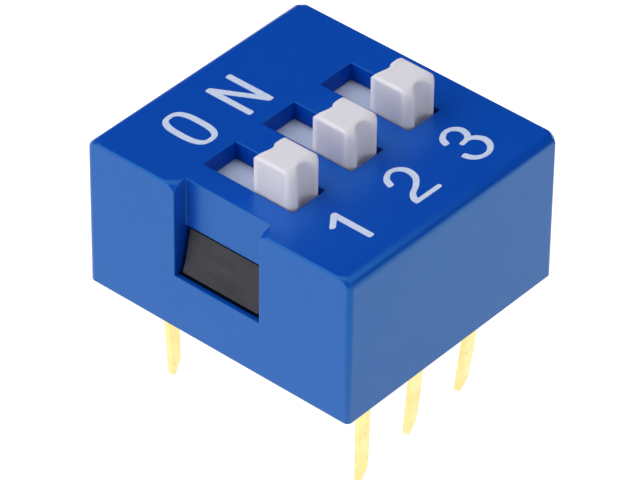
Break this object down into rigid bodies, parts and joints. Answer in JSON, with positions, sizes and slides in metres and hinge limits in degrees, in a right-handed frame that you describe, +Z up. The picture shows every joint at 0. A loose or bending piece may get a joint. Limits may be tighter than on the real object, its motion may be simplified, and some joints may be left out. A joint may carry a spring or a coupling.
{
  "type": "slide switch",
  "caption": "Slide-style dual-in-line switch: blue clip-down cover over a black base, white sliding knobs in slots, gold-plated through-hole pins.",
  "frame": {"origin": "centre of the seating plane: level with the cover's lower rim, midway between the two pin rows and under switch 2", "axes": "+X from switch 1 to switch 3, +Y along the sliders' travel towards ON, +Z up out of the board"},
  "size_m": [0.0092, 0.01, 0.0104],
  "materials": {
    "cover": "moulded, satin",
    "base": "moulded, satin",
    "slider": "moulded, satin",
    "terminal": "gold plated, bright",
    "spring": "gold plated, bright"
  },
  "bodies": {
    "housing": {"cover": "cover", "base": "base", "terminal_1": "terminal", "terminal_2": "terminal", "terminal_3": "terminal", "terminal_4": "terminal", "terminal_5": "terminal", "terminal_6": "terminal"},
    "switch_1": {"slider_1": "slider", "contact_1": "spring"},
    "switch_2": {"slider_2": "slider", "contact_2": "spring"},
    "switch_3": {"slider_3": "slider", "contact_3": "spring"}
  },
  "joints": [
    {"name": "slide_1", "type": "slide", "parent": "housing", "child": "switch_1", "axis": [0, 1, 0], "range_m": [0, 0.00165]},
    {"name": "slide_2", "type": "slide", "parent": "housing", "child": "switch_2", "axis": [0, 1, 0], "range_m": [0, 0.00165]},
    {"name": "slide_3", "type": "slide", "parent": "housing", "child": "switch_3", "axis": [0, 1, 0], "range_m": [0, 0.00165]}
  ]
}
